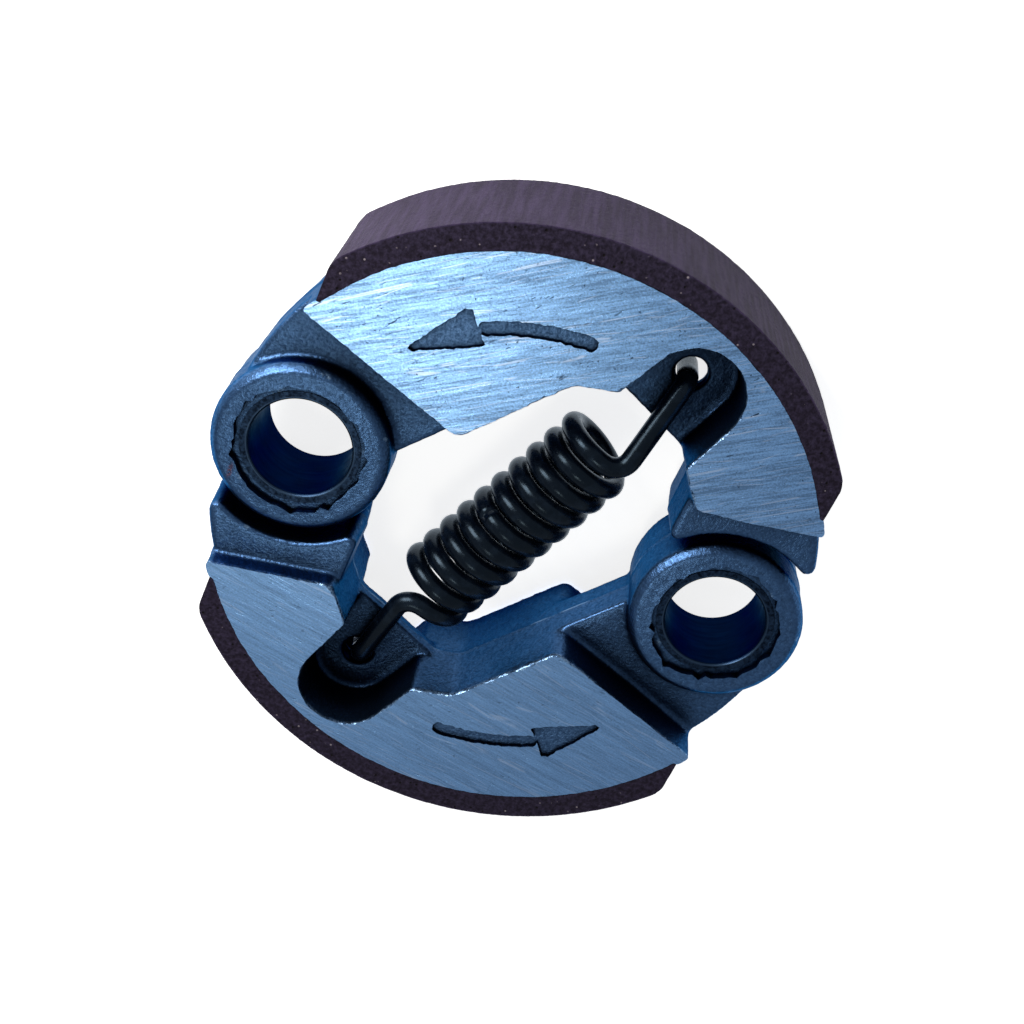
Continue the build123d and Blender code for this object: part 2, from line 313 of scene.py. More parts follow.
class Finish:
    """A procedural material under construction."""

    def __init__(self, name):
        self.material = bpy.data.materials.new(name)
        self.material.use_nodes = True
        self.tree = self.material.node_tree
        self.tree.nodes.clear()
        place = self.node("ShaderNodeTexCoord").outputs["Object"]
        # Patterns are given in millimetres.
        self.mm = self.moved(place, scale=(1000, 1000, 1000))

    def node(self, kind, inputs=None, **settings):
        """Adds a node; an input is a value or another node's output."""
        made = self.tree.nodes.new(kind)
        for name, value in settings.items():
            setattr(made, name, value)
        for name, value in (inputs or {}).items():
            if isinstance(value, bpy.types.NodeSocket):
                self.tree.links.new(value, made.inputs[name])
            else:
                made.inputs[name].default_value = value
        return made

    def moved(self, vector, scale=(1, 1, 1), turn=0.0, shift=(0, 0, 0)):
        """The coordinates, turned about the axis and scaled."""
        return self.node("ShaderNodeMapping", {
            "Vector": vector, "Scale": scale, "Rotation": (0, 0, turn), "Location": shift,
        }).outputs["Vector"]

    def grain(self, scale, detail=3.0, rough=0.55, vector=None):
        """Noise from 0 to 1, with its scale per millimetre."""
        return self.node("ShaderNodeTexNoise", {
            "Vector": self.mm if vector is None else vector, "Scale": scale, "Detail": detail,
            "Roughness": rough,
        }).outputs["Fac"]

    def cells(self, scale, vector=None):
        """Distance from the middle of scattered cells."""
        return self.node("ShaderNodeTexVoronoi", {
            "Vector": self.mm if vector is None else vector, "Scale": scale,
        }).outputs["Distance"]

    def stretch(self, value, low, high, to_low=0.0, to_high=1.0):
        """Maps a range of a value onto another, held at its ends."""
        return self.node("ShaderNodeMapRange", {
            "Value": value, "From Min": low, "From Max": high,
            "To Min": to_low, "To Max": to_high,
        }).outputs["Result"]

    def sum(self, kind, first, second=0.0):
        """Arithmetic on one or two values."""
        return self.node("ShaderNodeMath", {0: first, 1: second}, operation=kind).outputs[0]

    def times(self, first, second):
        """One value times another."""
        return self.sum("MULTIPLY", first, second)

    def vector(self, kind, first, second=(0, 0, 0)):
        """Arithmetic on one or two vectors."""
        return self.node("ShaderNodeVectorMath", {0: first, 1: second}, operation=kind).outputs[0]

    def reach(self, vector):
        """Length of a vector."""
        return self.node("ShaderNodeVectorMath", {0: vector}, operation="LENGTH").outputs["Value"]

    def mix(self, share, first, second):
        """One colour over another."""
        first, second = ((*value, 1.0) if isinstance(value, tuple) else value
                         for value in (first, second))
        # Sockets 6 and 7 and output 2 of the node are its colours.
        made = self.node("ShaderNodeMix", {0: share, 6: first, 7: second}, data_type="RGBA")
        return made.outputs[2]

    def bump(self, height, depth, strength=1.0):
        """Relief of that depth in metres."""
        return self.node("ShaderNodeBump", {
            "Height": height, "Distance": depth, "Strength": strength,
        }).outputs["Normal"]

    def done(self, **inputs):
        """Closes the material with its surface."""
        surface = self.node("ShaderNodeBsdfPrincipled", {
            name.replace("_", " "): (*value, 1.0) if isinstance(value, tuple) else value
            for name, value in inputs.items()})
        self.node("ShaderNodeOutputMaterial", {"Surface": surface.outputs[0]})
        return self.material


def scaled(tint, share):
    """A colour made lighter or darker, held at white."""
    return tuple(min(1.0, share * part) for part in tint)


def cast_skin(name, settings, rust_at):
    """Sand-cast skin: dark blue-grey grain, worn bright on its edges, with painted shade darkening
    its hollows.
    """
    finish = Finish(name)
    fine = finish.grain(3.0, detail=2.0, rough=0.6)
    coarse = finish.grain(1.3, detail=2.0)
    patch = finish.grain(0.12, detail=3.0)
    sand = finish.sum("ADD", finish.times(fine, 0.7), finish.times(coarse, 0.3))
    tone = finish.times(finish.stretch(sand, 0.34, 0.66),
                        finish.stretch(patch, 0.25, 0.7, 0.75, 1.0))
    skin = finish.mix(tone, tuple(settings.skin_dark), tuple(settings.skin_light))

    # Bare metal shows on sharp edges, along the ground faces and on the parting line.
    height = finish.node("ShaderNodeSeparateXYZ", {0: finish.mm}).outputs["Z"]
    edge = finish.node("ShaderNodeNewGeometry").outputs["Pointiness"]
    worn = finish.times(finish.stretch(edge, 0.55, 0.66), finish.stretch(coarse, 0.45, 0.6))
    front, back = FRONT / MM, BACK / MM
    rim = finish.sum("MAXIMUM", finish.stretch(height, front - 0.5, front - 0.2),
                     finish.stretch(height, back + 0.5, back + 0.2))
    rim = finish.times(rim, finish.stretch(sand, 0.38, 0.55))
    worn = finish.sum("MAXIMUM", worn, rim)
    off_parting = finish.sum("ABSOLUTE", finish.sum("SUBTRACT", height, PARTING / MM))
    flash = finish.times(finish.stretch(off_parting, 0.08, 0.2, 0.6, 0.0),
                         finish.stretch(finish.grain(0.3, detail=3.0), 0.48, 0.6))
    worn = finish.sum("MAXIMUM", worn, flash)
    skin = finish.mix(worn, skin, tuple(settings.worn_edge))

    # Painted shade: the skin is darkened in hollows, up to 9 mm from the walls round them.
    open_sky = finish.node("ShaderNodeAmbientOcclusion", {"Distance": 0.009}, samples=8)
    painted_shade = finish.stretch(open_sky.outputs["AO"], 0.45, 0.95, 0.96, 0.0)
    skin = finish.mix(painted_shade, skin, (0.002, 0.004, 0.010))

    # One short streak of rust.
    streak = finish.vector("SUBTRACT", finish.mm, rust_at)
    streak = finish.moved(finish.moved(streak, turn=math.radians(-92)), scale=(0.9, 3.0, 1))
    rusty = finish.times(finish.stretch(finish.reach(streak), 0.4, 1.2, 0.7, 0.0),
                         finish.stretch(fine, 0.36, 0.52))
    skin = finish.mix(rusty, skin, tuple(settings.rust))
    return finish.done(
        Base_Color=skin, Metallic=1.0, Specular_Tint=(0.26, 0.37, 0.52),
        Roughness=finish.stretch(sand, 0.35, 0.65, 0.39, 0.30),
        Normal=finish.bump(sand, 0.00009, 1.0))


# Sets of bright scores: degrees off the grinding marks, scores per millimetre, seed, rarity.
SCORES = ((3, 1.1, 3, 0.46), (-6, 0.9, 17, 0.50), (11, 0.8, 29, 0.56))


def bright_scores(finish, turn):
    """Long straight scores, broken here and there."""
    bright = None
    for tilt, spacing, seed, rare in SCORES:
        lane = finish.moved(finish.mm, turn=-turn - math.radians(tilt))
        wave = finish.grain(1.0, detail=0.0, vector=finish.moved(
            lane, scale=(0.012, spacing, 1), shift=(seed, 2 * seed, 0)))
        line = finish.sum("ABSOLUTE", finish.sum("SUBTRACT", wave, 0.5))
        where = finish.grain(1.0, detail=2.0, vector=finish.moved(
            lane, scale=(0.25, 0.8, 1), shift=(seed, 1, seed)))
        score = finish.times(finish.stretch(line, 0.003, 0.02, 1.0, 0.0),
                             finish.stretch(where, rare, rare + 0.08))
        bright = score if bright is None else finish.sum("MAXIMUM", bright, score)
    return bright


def dark_nicks(finish, turn):
    """Nicks aslant to the grinding marks, and open pits, more in some places than in others."""
    aslant = finish.moved(finish.mm, turn=-turn - math.radians(14))
    nicks = finish.grain(1.0, detail=2.0, vector=finish.moved(
        aslant, scale=(0.5, 2.6, 1), shift=(2, 6, 0)))
    pits = finish.grain(2.0, detail=3.0, rough=0.6, vector=finish.moved(
        finish.mm, shift=(1, 9, 0)))
    patch = finish.grain(0.16, detail=2.0, vector=finish.moved(finish.mm, shift=(4, 4, 2)))
    dark = finish.sum("MAXIMUM", finish.stretch(nicks, 0.69, 0.74),
                      finish.stretch(pits, 0.665, 0.70))
    return finish.times(dark, finish.stretch(patch, 0.35, 0.6, 0.25, 1.0))


def ground_face(name, tint, turn, contrast):
    """Ground steel: gritty fine marks one way, bright scores that cross, dark nicks and pits."""
    finish = Finish(name)
    along = finish.moved(finish.mm, turn=-turn)
    grit = finish.grain(4.2, detail=2.0, rough=0.6)
    fine = finish.grain(1.0, detail=2.0, rough=0.6,
                        vector=finish.moved(along, scale=(0.30, 4.6, 1)))
    broad = finish.grain(1.0, detail=3.0, rough=0.6,
                         vector=finish.moved(along, scale=(0.05, 1.1, 1)))
    marks = finish.sum("ADD", finish.times(grit, 0.34), finish.times(fine, 0.40))
    marks = finish.sum("ADD", marks, finish.times(broad, 0.26))
    bright, dark = bright_scores(finish, turn), dark_nicks(finish, turn)
    spread = 0.13 / contrast
    shine = tuple(min(1.0, 0.38 + 0.75 * part) for part in tint)
    metal = finish.mix(finish.stretch(marks, 0.5 - spread, 0.5 + spread),
                       scaled(tint, 0.55), scaled(tint, 1.25))
    metal = finish.mix(finish.times(bright, 0.5 * contrast), metal, shine)
    metal = finish.mix(finish.times(dark, 0.6 * contrast), metal, (0.015, 0.03, 0.06))
    height = finish.sum("SUBTRACT", marks, finish.times(dark, 0.6))
    return finish.done(
        Base_Color=metal, Metallic=0.95,
        Roughness=finish.stretch(marks, 0.35, 0.65, 0.34, 0.26),
        Normal=finish.bump(height, 0.00003, 0.8))


def lining_stuff(name, settings):
    """Bonded friction material: dark maroon crumb with pale specks, scored on its rim."""
    finish = Finish(name)
    crumb = finish.grain(1.7, detail=4.0, rough=0.7)
    body = finish.mix(finish.stretch(crumb, 0.4, 0.72),
                      tuple(settings.matrix), tuple(settings.fibre))
    specks = finish.stretch(finish.cells(0.9), 0.09, 0.14, 1.0, 0.0)
    few = finish.stretch(finish.grain(0.8, detail=1.0), 0.52, 0.6)
    body = finish.mix(finish.times(specks, few), body, tuple(settings.speck))
    holes = finish.cells(0.8, vector=finish.moved(finish.mm, shift=(5, 2, 8)))
    holes = finish.stretch(holes, 0.08, 0.14, 1.0, 0.0)
    body = finish.mix(holes, body, (0.006, 0.004, 0.005))
    radius = finish.reach(finish.vector("MULTIPLY", finish.mm, (1, 1, 0)))
    rubbed = finish.stretch(radius, 38.75, 38.9)
    scored = finish.grain(1.0, detail=3.0,
                          vector=finish.moved(finish.mm, scale=(1.6, 1.6, 0.1)))
    rim = finish.mix(finish.stretch(scored, 0.38, 0.66),
                     scaled(settings.rim, 0.55), tuple(settings.rim))
    height = finish.sum("SUBTRACT", crumb, finish.times(holes, 0.6))
    return finish.done(
        Base_Color=finish.mix(rubbed, body, rim),
        Roughness=finish.stretch(crumb, 0.3, 0.7, 0.8, 0.65), Specular_IOR_Level=0.12,
        Normal=finish.bump(height, 0.0003, 0.9))


def bush_steel(name, settings):
    """Dark drawn steel, with marks round the bore, a thin painted highlight on the bore's broken
    edge, and sandy ends.
    """
    finish = Finish(name)
    rings = finish.grain(1.0, detail=3.0,
                         vector=finish.moved(finish.mm, scale=(0.25, 0.25, 3.0)))
    haze = finish.grain(0.5, detail=2.0)
    crumb = finish.grain(2.6, detail=3.0)
    metal = finish.mix(finish.stretch(rings, 0.35, 0.7),
                       scaled(settings.steel, 0.6), tuple(settings.steel))
    # Both bushes lie at the same distance from the clutch axis, on either side of it.
    pivot = (abs(PIVOT["shoe_a"].x) / MM, 0, 0)
    spot = finish.vector("SUBTRACT", finish.vector("ABSOLUTE", finish.mm), pivot)
    out = finish.reach(finish.vector("MULTIPLY", spot, (1, 1, 0)))
    bore = BORE_RADIUS / MM
    # Painted highlight: a lighter ring on the broken edge at the mouth of the bore.
    metal = finish.mix(finish.stretch(out, bore + 0.06, bore + 0.12), metal, tuple(settings.bright))
    sandy = finish.mix(finish.stretch(crumb, 0.35, 0.65),
                       (0.004, 0.008, 0.018), (0.022, 0.045, 0.095))
    metal = finish.mix(finish.stretch(out, bore + 0.26, bore + 0.36), metal, sandy)
    return finish.done(
        Base_Color=metal, Metallic=1.0, Specular_Tint=(0.28, 0.40, 0.50),
        Roughness=finish.stretch(haze, 0.3, 0.7, 0.34, 0.48),
        Normal=finish.bump(rings, 0.00002, 0.5))


def spring_black(name, settings):
    """Black finished wire with faint drawing marks and rubbed spots."""
    finish = Finish(name)
    haze = finish.grain(0.45, detail=3.0)
    fine = finish.grain(3.0, detail=3.0)
    black = finish.mix(finish.stretch(haze, 0.5, 0.75), tuple(settings.black), tuple(settings.worn))
    return finish.done(
        Base_Color=black, Metallic=0.3, Specular_IOR_Level=0.42, Specular_Tint=(0.55, 0.78, 1.0),
        Roughness=finish.stretch(fine, 0.3, 0.7, 0.18, 0.32),
        Normal=finish.bump(fine, 0.00003, 0.4))


# ---------------------------------------------------------------- castings

# The arrow's shaft runs between these angles round the clutch axis, in degrees.
ARROW_TAIL, ARROW_NECK = 94.0, 118.4
# Corners of its blunt head, in millimetres.
ARROW_HEAD = ((-15.15, 25.35), (-15.75, 25.15), (-19.75, 18.75), (-19.75, 18.2),
              (-19.25, 18.1), (-12.6, 21.75), (-12.35, 22.2))
# The mould's sand crumbles along the arrow in steps and depths of this size.
ARROW_STEP, ARROW_CRUMBLE = 0.22 * MM, 0.18 * MM
HOLLOW_POINTS = 64
# The coarse sand of a ground edge reaches this far from the face.
EDGE_ZONE = 0.75 * MM
PARTING_WIDTH = 0.2 * MM
# The metal stands up round each bush between these distances from the pivot, in millimetres.
COLLAR_INNER, COLLAR_OUTER, COLLAR_SLOPE, COLLAR_HEIGHT = 7.0, 9.2, 1.4, 0.00010
# Faces that meet at more than this angle meet at a sharp edge.
SHARP_CASTING = 0.9
# What differs between the two shoes: the draw of the grain, the contrast of the grinding marks
# and the place of a streak of rust in millimetres, which for shoe B lies clear of the metal.
CASTING_SEED = {"a": 3.0, "b": 41.0}
MARK_CONTRAST = {"a": 1.5, "b": 0.8}
RUST_PLACE = {"a": (-33.2, -5.8, 15.2), "b": (0.0, 0.0, -50.0)}


def ring_points(middle, radius, first, last, steps):
    """Points round part of a circle, in degrees."""
    turns = [math.radians(first + (last - first) * i / steps) for i in range(steps + 1)]
    return [(middle[0] + radius * math.cos(turn), middle[1] + radius * math.sin(turn))
            for turn in turns]


def arrow_outlines(settings):
    """The rotation arrow of shoe A: a curved shaft and a blunt head, each counter-clockwise."""
    radius, half = settings.arrow_radius, settings.arrow_width / 2
    tail, neck = ARROW_TAIL, ARROW_NECK
    tail_end, neck_end = ((radius * math.cos(math.radians(at)), radius * math.sin(math.radians(at)))
                          for at in (tail, neck))
    shaft = (ring_points((0, 0), radius + half, tail, neck, 14)
             + ring_points(neck_end, half, neck, neck + 180, 8)[1:-1]
             + ring_points((0, 0), radius - half, neck, tail, 14)
             + ring_points(tail_end, half, tail + 180, tail + 360, 8)[1:-1])
    return shaft, [(x * MM, y * MM) for x, y in ARROW_HEAD]


def ragged(outline, step, depth):
    """The outline in short steps that wander in and out, as crumbling sand leaves it."""
    points = []
    for (x0, y0), (x1, y1) in zip(outline, outline[1:] + outline[:1]):
        count = max(1, round(math.hypot(x1 - x0, y1 - y0) / step))
        for i in range(count):
            spot = Vector((x0 + (x1 - x0) * i / count, y0 + (y1 - y0) * i / count, 0.0))
            draw = spot / MM * 1.7
            points.append((spot.x + depth * noise.noise(draw),
                           spot.y + depth * noise.noise(draw + Vector((31.0, 7.0, 5.0)))))
    return points


def arrow_cutter(settings, outline, turn):
    """The shape that the mould leaves out of a ground face."""
    shape = bmesh.new()
    prism(shape, ragged(outline, ARROW_STEP, ARROW_CRUMBLE),
          FRONT - settings.arrow_depth, FRONT + 2 * MM)
    shape.transform(turn)
    return mesh_from(shape, "arrow")


def flash_cutter(settings, pivot, seed):
    """The ragged hollows round both ends of a bush."""
    shape = bmesh.new()
    low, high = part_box("pivot_bush_a")
    for k, (bottom, top) in enumerate(((high.z - 0.1 * MM, FRONT), (BACK, low.z + 0.1 * MM))):
        outline = []
        for i in range(HOLLOW_POINTS):
            jag = noise.noise(Vector((i * 1.31, seed, k * 5.0)))
            turn = 2 * math.pi * (i + 0.6 * jag) / HOLLOW_POINTS
            ray = Vector((math.cos(turn), math.sin(turn), 0))
            slow = noise.noise(ray * 1.3 + Vector((seed, k * 5.0, 3.0)))
            quick = noise.noise(Vector((i * 0.83, seed * 2.0, 4.0 + k)))
            radius = settings.flash_radius + settings.flash_rag * (0.8 * slow + 0.8 * quick)
            point = pivot + ray * max(radius, BUSH_RADIUS + 0.05 * MM)
            outline.append((point.x, point.y))
        prism(shape, outline, bottom, top)
    return mesh_from(shape, "flash")


def rough_casting(settings, node, pivot):
    """The casting before it is ground: more stock beside the lining, and the bush cast in."""
    shape = stocked(node, settings.grind_stock)
    extra = settings.seat_stock - settings.grind_stock
    for vert in shape.verts:
        if vert.co.xy.length > SEAT_RADIUS - 0.05 * MM and not BACK <= vert.co.z <= FRONT:
            vert.co.z += extra if vert.co.z > FRONT else -extra
        out = vert.co.xy - pivot.xy
        if out.length < BUSH_RADIUS + 0.7 * MM:
            # The hole closes in under the bush, so that rounding leaves the hollow's edge alone.
            vert.co.xy = pivot.xy + out.normalized() * (BUSH_RADIUS - 0.7 * MM)
    bmesh.ops.dissolve_degenerate(shape, dist=WELD, edges=shape.edges)
    return mesh_from(shape, node)


def roughen(shape, settings, pivot, seed):
    """Gives the cast skin its grain, slow waves, parting ridge and a collar round the bush."""
    offset = Vector((seed, seed * 0.37, seed * 0.71))
    shape.normal_update()
    moves = []
    for vert in shape.verts:
        spot = vert.co / MM + offset
        sand = 0.6 * noise.noise(spot * 1.3) + 0.4 * noise.noise(spot * 2.7)
        depth = settings.sand_depth * sand + settings.swell_depth * noise.noise(spot * 0.21)
        if min(abs(vert.co.z - FRONT), abs(vert.co.z - BACK)) < EDGE_ZONE:
            depth += settings.edge_rag * (noise.noise(spot * 0.9) + 0.8 * noise.noise(spot * 2.6))
        if abs(vert.normal.z) < 0.6:
            near = (vert.co.z - PARTING) / PARTING_WIDTH
            wander = 0.7 + 0.5 * noise.noise(spot * 0.35)
            depth += settings.parting_ridge * math.exp(-near * near) * wander
        elif abs(vert.normal.z) > 0.8:
            out = (vert.co.xy - pivot.xy).length / MM
            if COLLAR_INNER < out < COLLAR_OUTER:
                lift = min(1.0, (COLLAR_OUTER - out) / COLLAR_SLOPE)
                depth += COLLAR_HEIGHT * lift * lift * (0.7 + 0.6 * noise.noise(spot * 0.7))
        moves.append(vert.normal * depth)
    for vert, move in zip(shape.verts, moves):
        vert.co += move


def shoe_casting(settings, letter, body, turn):
    """A shoe casting with its arrow, grain, parting ridge, ragged bush edges and ground faces."""
    node = "shoe_casting_" + letter
    pivot, seed = PIVOT[body], CASTING_SEED[letter]
    mesh = rough_casting(settings, node, pivot)
    mesh = skinned(mesh, node, settings.skin_step, settings.rounding)
    shape = bmesh.new()
    shape.from_mesh(mesh)
    roughen(shape, settings, pivot, seed)
    grind(shape, BACK, FRONT)
    keep_inside(shape, node)
    mesh = cut(mesh_from(shape, node), flash_cutter(settings, pivot, seed), node)
    for outline in arrow_outlines(settings):
        mesh = cut(mesh, arrow_cutter(settings, outline, turn), node)
    shape = bmesh.new()
    shape.from_mesh(mesh)
    drop_slivers(shape)
    shape.normal_update()
    for face in shape.faces:
        height = face.calc_center_median().z
        off_ground = min(abs(height - FRONT), abs(height - BACK))
        ground = abs(face.normal.z) > 0.999 and off_ground < 0.002 * MM
        face.material_index = 1 if ground else 0
        face.smooth = not ground
    for edge in shape.edges:
        if len(edge.link_faces) == 2:
            one, two = edge.link_faces
            edge.smooth = (one.material_index == two.material_index
                           and edge.calc_face_angle(0) < SHARP_CASTING)
    casting = show("cast_shoe_" + letter, mesh_from(shape, "cast_shoe_" + letter))
    marks = settings.grind_angle_a if letter == "a" else settings.grind_angle_b
    skin = cast_skin("cast_skin_" + letter, settings, RUST_PLACE[letter])
    ground = ground_face("ground_face_" + letter, tuple(settings.ground), marks,
                         MARK_CONTRAST[letter])
    casting.data.materials.append(skin)
    casting.data.materials.append(ground)
    finish_piece(casting, body, "cast_shoe", node)


class CLUTCH_OT_shoe_castings(bpy.types.Operator):
    """Makes both shoe castings over their solids"""
    bl_idname = "clutch.shoe_castings"
    bl_label = "Shoe castings"

    def execute(self, context):
        for letter, body, turn in SHOES:
            shoe_casting(context.scene.clutch_casting, letter, body, turn)
        return {"FINISHED"}


# ---------------------------------------------------------------- linings

LINING_STOCK = 0.3 * MM
# The linings end this far below the ground faces.
LINING_STEP = 0.02 * MM
LINING_DRAW = {"a": Vector((7.0, 1.0, 3.0)), "b": Vector((57.0, 21.0, 9.0))}


def friction_lining(settings, letter, body, stuff):
    """A friction lining with a crumbly skin, cut nearly flush with the ground faces."""
    node = "friction_lining_" + letter
    mesh = mesh_from(stocked(node, LINING_STOCK), node)
    mesh = skinned(mesh, node, settings.skin_step, settings.rounding)
    shape = bmesh.new()
    shape.from_mesh(mesh)
    shape.normal_update()
    moves = []
    for vert in shape.verts:
        spot = vert.co / MM + LINING_DRAW[letter]
        crumb = 0.6 * noise.noise(spot * 1.1) + 0.4 * noise.noise(spot * 2.4) - 0.5
        moves.append(vert.normal * settings.crumb_depth * crumb)
    for vert, move in zip(shape.verts, moves):
        vert.co += move
    flats = set(grind(shape, BACK + LINING_STEP, FRONT - LINING_STEP))
    keep_inside(shape, node)
    for face in shape.faces:
        face.smooth = True
    for face in flats:
        face.smooth = False
        for edge in face.edges:
            if any(other not in flats for other in edge.link_faces):
                edge.smooth = False
    lining = show("lining_" + letter, mesh_from(shape, "lining_" + letter))
    lining.data.materials.append(stuff)
    finish_piece(lining, body, "lining", node)


class CLUTCH_OT_friction_linings(bpy.types.Operator):
    """Makes both friction linings over their solids"""
    bl_idname = "clutch.friction_linings"
    bl_label = "Friction linings"

    def execute(self, context):
        settings = context.scene.clutch_lining
        stuff = lining_stuff("lining_stuff", settings)
        for letter, body, _turn in SHOES:
            friction_lining(settings, letter, body, stuff)
        return {"FINISHED"}


# ---------------------------------------------------------------- bushes

BUSH_FACETS = 128
SHARP_BUSH = 0.6


def pivot_bush(settings, letter, body, steel):
    """A turned bush with broken edges at the ends of its bore."""
    node, pivot = "pivot_bush_" + letter, PIVOT[body]
    low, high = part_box(node)
    flare, lip = BORE_RADIUS + settings.lip, settings.lip
    profile = [
        (BORE_RADIUS, low.z + lip), (flare, low.z), (BUSH_RADIUS, low.z),
        (BUSH_RADIUS, high.z), (flare, high.z), (BORE_RADIUS, high.z - lip),
        (BORE_RADIUS, PARTING + 2 * MM), (BORE_RADIUS, PARTING - 2 * MM)]
    shape = bmesh.new()
    rings = []
    for i in range(BUSH_FACETS):
        turn = 2 * math.pi * i / BUSH_FACETS
        across, up = math.cos(turn), math.sin(turn)
        rings.append([shape.verts.new((pivot.x + r * across, pivot.y + r * up, z))
                      for r, z in profile])
    for i in range(BUSH_FACETS):
        here, there = rings[i], rings[(i + 1) % BUSH_FACETS]
        for k in range(len(profile)):
            n = (k + 1) % len(profile)
            face = shape.faces.new((here[k], here[n], there[n], there[k]))
            face.smooth = True
    bmesh.ops.recalc_face_normals(shape, faces=shape.faces)
    for edge in shape.edges:
        edge.smooth = edge.calc_face_angle(0) < SHARP_BUSH
    bush = show("bush_" + letter, mesh_from(shape, "bush_" + letter))
    bush.data.materials.append(steel)
    finish_piece(bush, body, "bush", node)


class CLUTCH_OT_pivot_bushes(bpy.types.Operator):
    """Makes both pivot bushes over their solids"""
    bl_idname = "clutch.pivot_bushes"
    bl_label = "Pivot bushes"

    def execute(self, context):
        settings = context.scene.clutch_bush
        steel = bush_steel("bush_steel", settings)
        for letter, body, _turn in SHOES:
            pivot_bush(settings, letter, body, steel)
        return {"FINISHED"}


# ---------------------------------------------------------------- spring

COIL_HEIGHT = PARTING + 0.8 * MM
# The arms run this far past the coil, at this height over its axis.
ARM_OFFSET, ARM_HEIGHT = 2.8 * MM, 1.87 * MM
# The hooks go down at this distance from the middle, to this height.
HOOK_SEAT, HOOK_TIP = 27.72 * MM, -3.7 * MM
# The hook in shoe B turns outwards under the web by this much.
TOE_REACH = 2.8 * MM
ARM_BEND, HOOK_BEND, TOE_BEND = 2.2 * MM, 1.8 * MM, 1.4 * MM
STEPS_PER_TURN, WIRE_SIDES = 40, 20
SHARP_WIRE = 1.0


def rounded_corner(before, corner, after, radius, steps=10):
    """Points of an arc that rounds a corner of the wire."""
    back, ahead = (before - corner).normalized(), (after - corner).normalized()
    half = back.angle(ahead) / 2
    reach = radius / math.tan(half)
    middle = corner + (back + ahead).normalized() * (radius / math.sin(half))
    first, last = corner + back * reach - middle, corner + ahead * reach - middle
    swing = first.angle(last)
    turn = first.cross(last).normalized()
    return [middle + Matrix.Rotation(swing * i / steps, 3, turn) @ first for i in range(steps + 1)]


def spring_line(settings):
    """The middle line of the wire from hook to hook, in the coil's own axes."""
    turns = (settings.finish - settings.start) / settings.pitch
    around = math.hypot(settings.coil_radius, settings.pitch / 4)
    steps = int(round(turns * STEPS_PER_TURN))
    coil = []
    for i in range(steps + 1):
        turn = 2 * math.pi * turns * i / steps
        coil.append(Vector((settings.start + (settings.finish - settings.start) * i / steps,
                            -around * math.sin(turn), around * math.cos(turn))))
    lean = Vector((settings.pitch / 2, -2 * settings.coil_radius, 0)).normalized()
    ends = []
    for sign, front in ((-1, coil[0]), (1, coil[-1])):
        knee = front + lean * ARM_OFFSET * sign
        seat = Vector((sign * HOOK_SEAT, 0, ARM_HEIGHT))
        tip = Vector((sign * HOOK_SEAT, 0, HOOK_TIP))
        run = [front] + rounded_corner(front, knee, seat, ARM_BEND)
        run += rounded_corner(knee, seat, tip, HOOK_BEND)
        if sign < 0:
            toe = tip + Vector((sign * TOE_REACH, 0, 0))
            run += rounded_corner(seat, tip, toe, TOE_BEND)
            tip = toe
        ends.append(run + [tip])
    return ends[0][:0:-1] + coil + ends[1][1:]


def wire_rings(line, radius):
    """Rings of points round a line, turned as little as possible from one to the next."""
    turns = [2 * math.pi * k / WIRE_SIDES for k in range(WIRE_SIDES)]
    up = Vector((0.3, 0.5, 0.8))
    rings, last = [], len(line) - 1
    for i, point in enumerate(line):
        along = (line[min(i + 1, last)] - line[max(i - 1, 0)]).normalized()
        up = (up - along * up.dot(along)).normalized()
        side = along.cross(up)
        rings.append([point + radius * (math.cos(turn) * up + math.sin(turn) * side)
                      for turn in turns])
    return rings


def spring_half(settings, name, rings, finish):
    """One half of the spring, from the middle of the coil to one hook."""
    heading = Matrix.Translation((0, 0, COIL_HEIGHT)) @ Matrix.Rotation(settings.heading, 4, "Z")
    shape = bmesh.new()
    rows = [[shape.verts.new(point) for point in ring] for ring in rings]
    for here, there in zip(rows, rows[1:]):
        for k in range(len(here)):
            n = (k + 1) % len(here)
            shape.faces.new((here[k], here[n], there[n], there[k])).smooth = True
    shape.faces.new(rows[0][::-1])
    shape.faces.new(rows[-1])
    shape.transform(heading)
    for edge in shape.edges:
        edge.smooth = edge.calc_face_angle(0) < SHARP_WIRE
    half = show(name, mesh_from(shape, name))
    half.data.materials.append(finish)
    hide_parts("tension_spring")
    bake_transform(half)


class CLUTCH_OT_tension_spring(bpy.types.Operator):
    """Makes the tension spring in two halves over its solid"""
    bl_idname = "clutch.tension_spring"
    bl_label = "Tension spring"

    def execute(self, context):
        settings = context.scene.clutch_spring
        finish = spring_black("spring_black", settings)
        rings = wire_rings(spring_line(settings), settings.wire / 2)
        middle = len(rings) // 2
        spring_half(settings, "spring_half_b", rings[:middle + 1], finish)
        spring_half(settings, "spring_half_a", rings[middle:], finish)
        return {"FINISHED"}


# ---------------------------------------------------------------- stage

FLOOR_HALF_SIZE = 2.0
# The floor lies just below the clutch's back faces.
FLOOR_GAP = 0.3 * MM
SKY_COLOUR, SKY_STRENGTH = (0.90, 0.955, 1.0, 1.0), 0.33
LAMP_AIM = (0, 0, 0.01)
# Each lamp: its name, place, size, power and tint.
LAMPS = (
    ("window_lamp", (-0.125, 0.075, 0.095), 0.09, 0.25, (1.0, 0.97, 0.92)),
    ("over_lamp", (-0.0555, -0.226, 0.65), 0.14, 0.38, (1.0, 0.94, 0.80)),
)


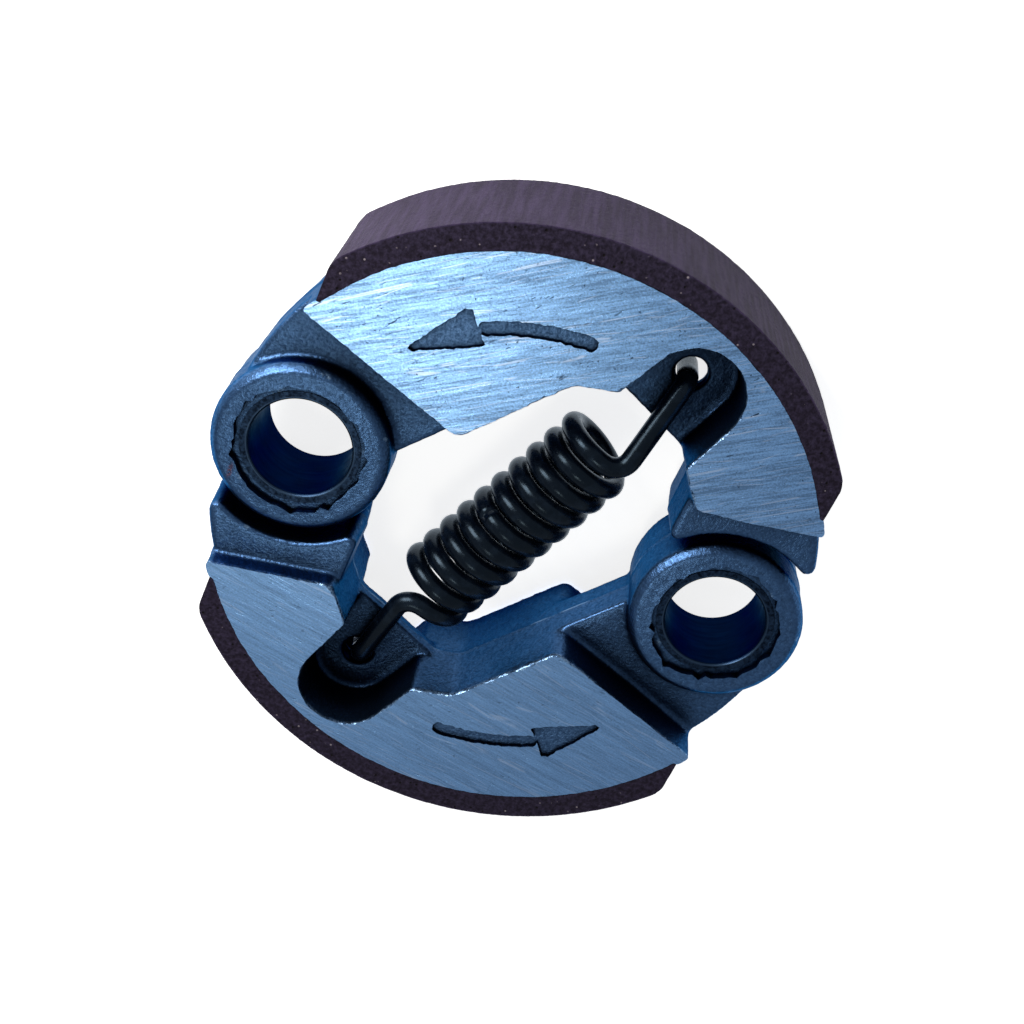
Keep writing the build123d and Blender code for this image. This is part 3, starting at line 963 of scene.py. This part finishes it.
def pale_floor(settings):
    """Matt pale floor that keeps the shadow and shows nearly white."""
    finish = Finish("pale_floor")
    cloud = finish.grain(0.004, detail=2.0)
    path = finish.node("ShaderNodeLightPath").outputs
    seen = finish.sum("MAXIMUM", path["Is Camera Ray"], path["Is Glossy Ray"])
    seen = finish.sum("MAXIMUM", seen, path["Is Transmission Ray"])
    tone = finish.mix(cloud, scaled(settings.floor, 0.985), tuple(settings.floor))
    return finish.done(
        Base_Color=tone, Roughness=0.9, Specular_IOR_Level=0.1,
        Emission_Color=(1.0, 1.0, 1.0),
        Emission_Strength=finish.stretch(seen, 0.0, 1.0, 0.0, 0.8))


def lamp(name, place, size, power, tint):
    """A soft square lamp."""
    light = bpy.data.lights.new(name, "AREA")
    light.shape, light.size, light.energy, light.color = "SQUARE", size, power, tint
    thing = show(name, light)
    thing.visible_camera = False
    thing.location = place
    aim = Vector(LAMP_AIM) - Vector(place)
    thing.rotation_euler = aim.to_track_quat("-Z", "Y").to_euler()


class CLUTCH_OT_stage(bpy.types.Operator):
    """Sets the floor, the lamps, the sky and the camera"""
    bl_idname = "clutch.stage"
    bl_label = "Stage"

    def execute(self, context):
        scene, settings = context.scene, context.scene.clutch_stage
        shape = bmesh.new()
        bmesh.ops.create_grid(shape, x_segments=8, y_segments=8, size=FLOOR_HALF_SIZE)
        floor = show("floor", mesh_from(shape, "floor"))
        floor.location.z = BACK - FLOOR_GAP
        floor.data.materials.append(pale_floor(settings))

        world = bpy.data.worlds.new("pale_sky")
        world.use_nodes = True
        sky = world.node_tree.nodes["Background"]
        sky.inputs["Color"].default_value = SKY_COLOUR
        sky.inputs["Strength"].default_value = SKY_STRENGTH
        scene.world = world

        for described in LAMPS:
            lamp(*described)

        camera = show("camera", bpy.data.cameras.new("camera"))
        camera.location, camera.rotation_euler = settings.camera_place, settings.camera_turn
        camera.data.sensor_width, camera.data.lens = 36.0, settings.lens
        camera.data.shift_x, camera.data.shift_y = settings.shift_x, settings.shift_y
        camera.data.clip_start, camera.data.clip_end = 0.01, 20.0
        scene.camera = camera
        scene.view_settings.view_transform = "Standard"
        return {"FINISHED"}


# ---------------------------------------------------------------- sidebar

OPERATORS = (CLUTCH_OT_shoe_castings, CLUTCH_OT_friction_linings, CLUTCH_OT_pivot_bushes,
             CLUTCH_OT_tension_spring, CLUTCH_OT_stage)


class CLUTCH_PT_sidebar(bpy.types.Panel):
    """Lists the clutch's pieces and their settings"""
    bl_idname = "CLUTCH_PT_sidebar"
    bl_label = "Centrifugal clutch"
    bl_space_type = "VIEW_3D"
    bl_region_type = "UI"
    bl_category = "Clutch"

    def draw(self, context):
        for operator, (name, group) in zip(OPERATORS, SETTINGS.items()):
            box = self.layout.box()
            box.operator(operator.bl_idname)
            for key in group.__annotations__:
                box.prop(getattr(context.scene, name), key)


def register():
    for group in SETTINGS.values():
        bpy.utils.register_class(group)
    for name, group in SETTINGS.items():
        setattr(bpy.types.Scene, name, PointerProperty(type=group))
    for made in (*OPERATORS, CLUTCH_PT_sidebar):
        bpy.utils.register_class(made)


def unregister():
    for made in (CLUTCH_PT_sidebar, *reversed(OPERATORS)):
        bpy.utils.unregister_class(made)
    for name in SETTINGS:
        delattr(bpy.types.Scene, name)
    for group in reversed(SETTINGS.values()):
        bpy.utils.unregister_class(group)


def main():
    register()
    bpy.ops.clutch.shoe_castings()
    bpy.ops.clutch.friction_linings()
    bpy.ops.clutch.pivot_bushes()
    bpy.ops.clutch.tension_spring()
    bpy.ops.clutch.stage()


if __name__ == "__main__":
    main()
